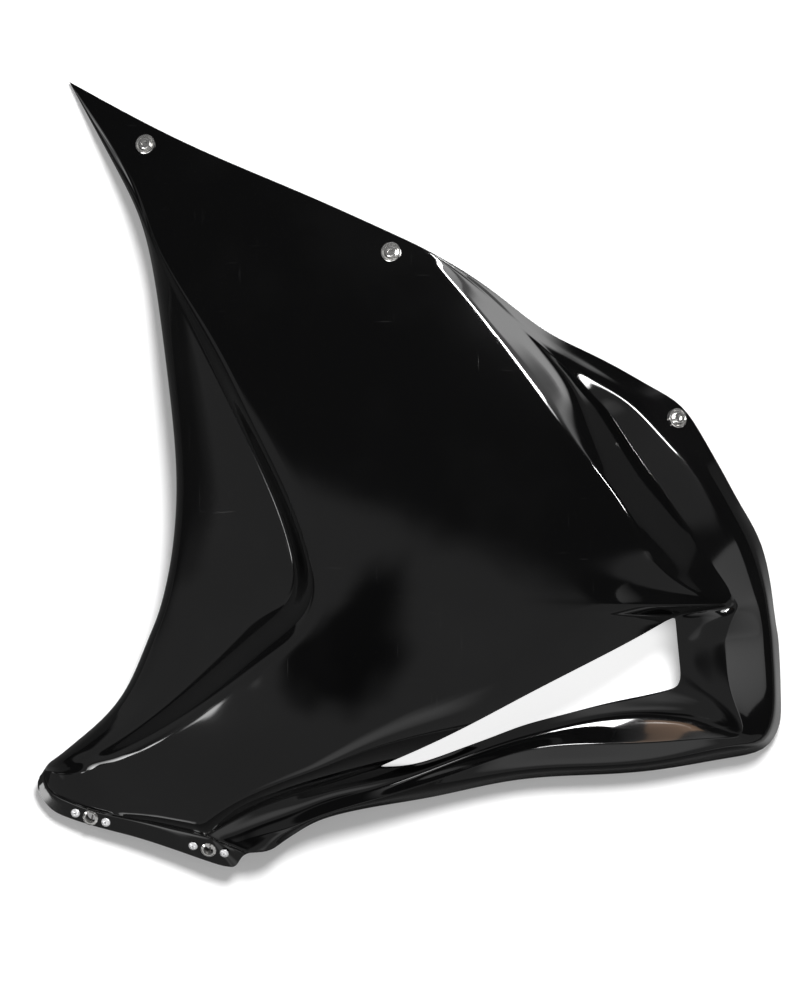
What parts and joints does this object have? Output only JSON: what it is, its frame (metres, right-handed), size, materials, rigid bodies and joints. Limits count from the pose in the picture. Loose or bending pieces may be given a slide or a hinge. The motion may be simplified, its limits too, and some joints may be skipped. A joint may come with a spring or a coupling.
{
  "type": "motorcycle side fairing panel",
  "caption": "Gloss black moulded side fairing panel with a stepped front recess, a triangular air outlet in a rear loop, captive quarter-turn studs and riveted receptacles.",
  "frame": {"origin": "centre of the footprint, on the surface that the panel rests on with its outer face up", "axes": "+X to the rear, +Y from the front flange to the top edge, +Z out of the outer face"},
  "size_m": [0.5878, 0.622, 0.1302],
  "materials": {
    "gel_coat": "gloss",
    "steel": "satin",
    "rivet_alloy": "satin"
  },
  "bodies": {
    "panel": {"shell": "gel_coat", "front_cup": "steel", "front_back_ring": "steel", "middle_cup": "steel", "middle_back_ring": "steel", "rear_cup": "steel", "rear_back_ring": "steel", "fore_eyelet": "steel", "fore_plate": "steel", "fore_spring": "steel", "fore_rivet_a": "rivet_alloy", "fore_rivet_b": "rivet_alloy", "aft_eyelet": "steel", "aft_plate": "steel", "aft_spring": "steel", "aft_rivet_a": "rivet_alloy", "aft_rivet_b": "rivet_alloy"},
    "front_fastener": {"front_stud": "steel", "front_clip": "steel"},
    "middle_fastener": {"middle_stud": "steel", "middle_clip": "steel"},
    "rear_fastener": {"rear_stud": "steel", "rear_clip": "steel"}
  },
  "joints": [
    {"name": "front_quarter_turn", "type": "hinge", "parent": "panel", "child": "front_fastener", "pos_m": [-0.20901, 0.26052, 0.03062], "axis": [-0.2555, 0.2034, 0.9452], "range_deg": [0, 90]},
    {"name": "middle_quarter_turn", "type": "hinge", "parent": "panel", "child": "middle_fastener", "pos_m": [-0.01487, 0.17393, 0.10542], "axis": [-0.1982, 0.1823, 0.9631], "range_deg": [0, 90]},
    {"name": "rear_quarter_turn", "type": "hinge", "parent": "panel", "child": "rear_fastener", "pos_m": [0.2103, 0.04366, 0.07926], "axis": [0.4955, 0.1482, 0.8559], "range_deg": [0, 90]}
  ]
}
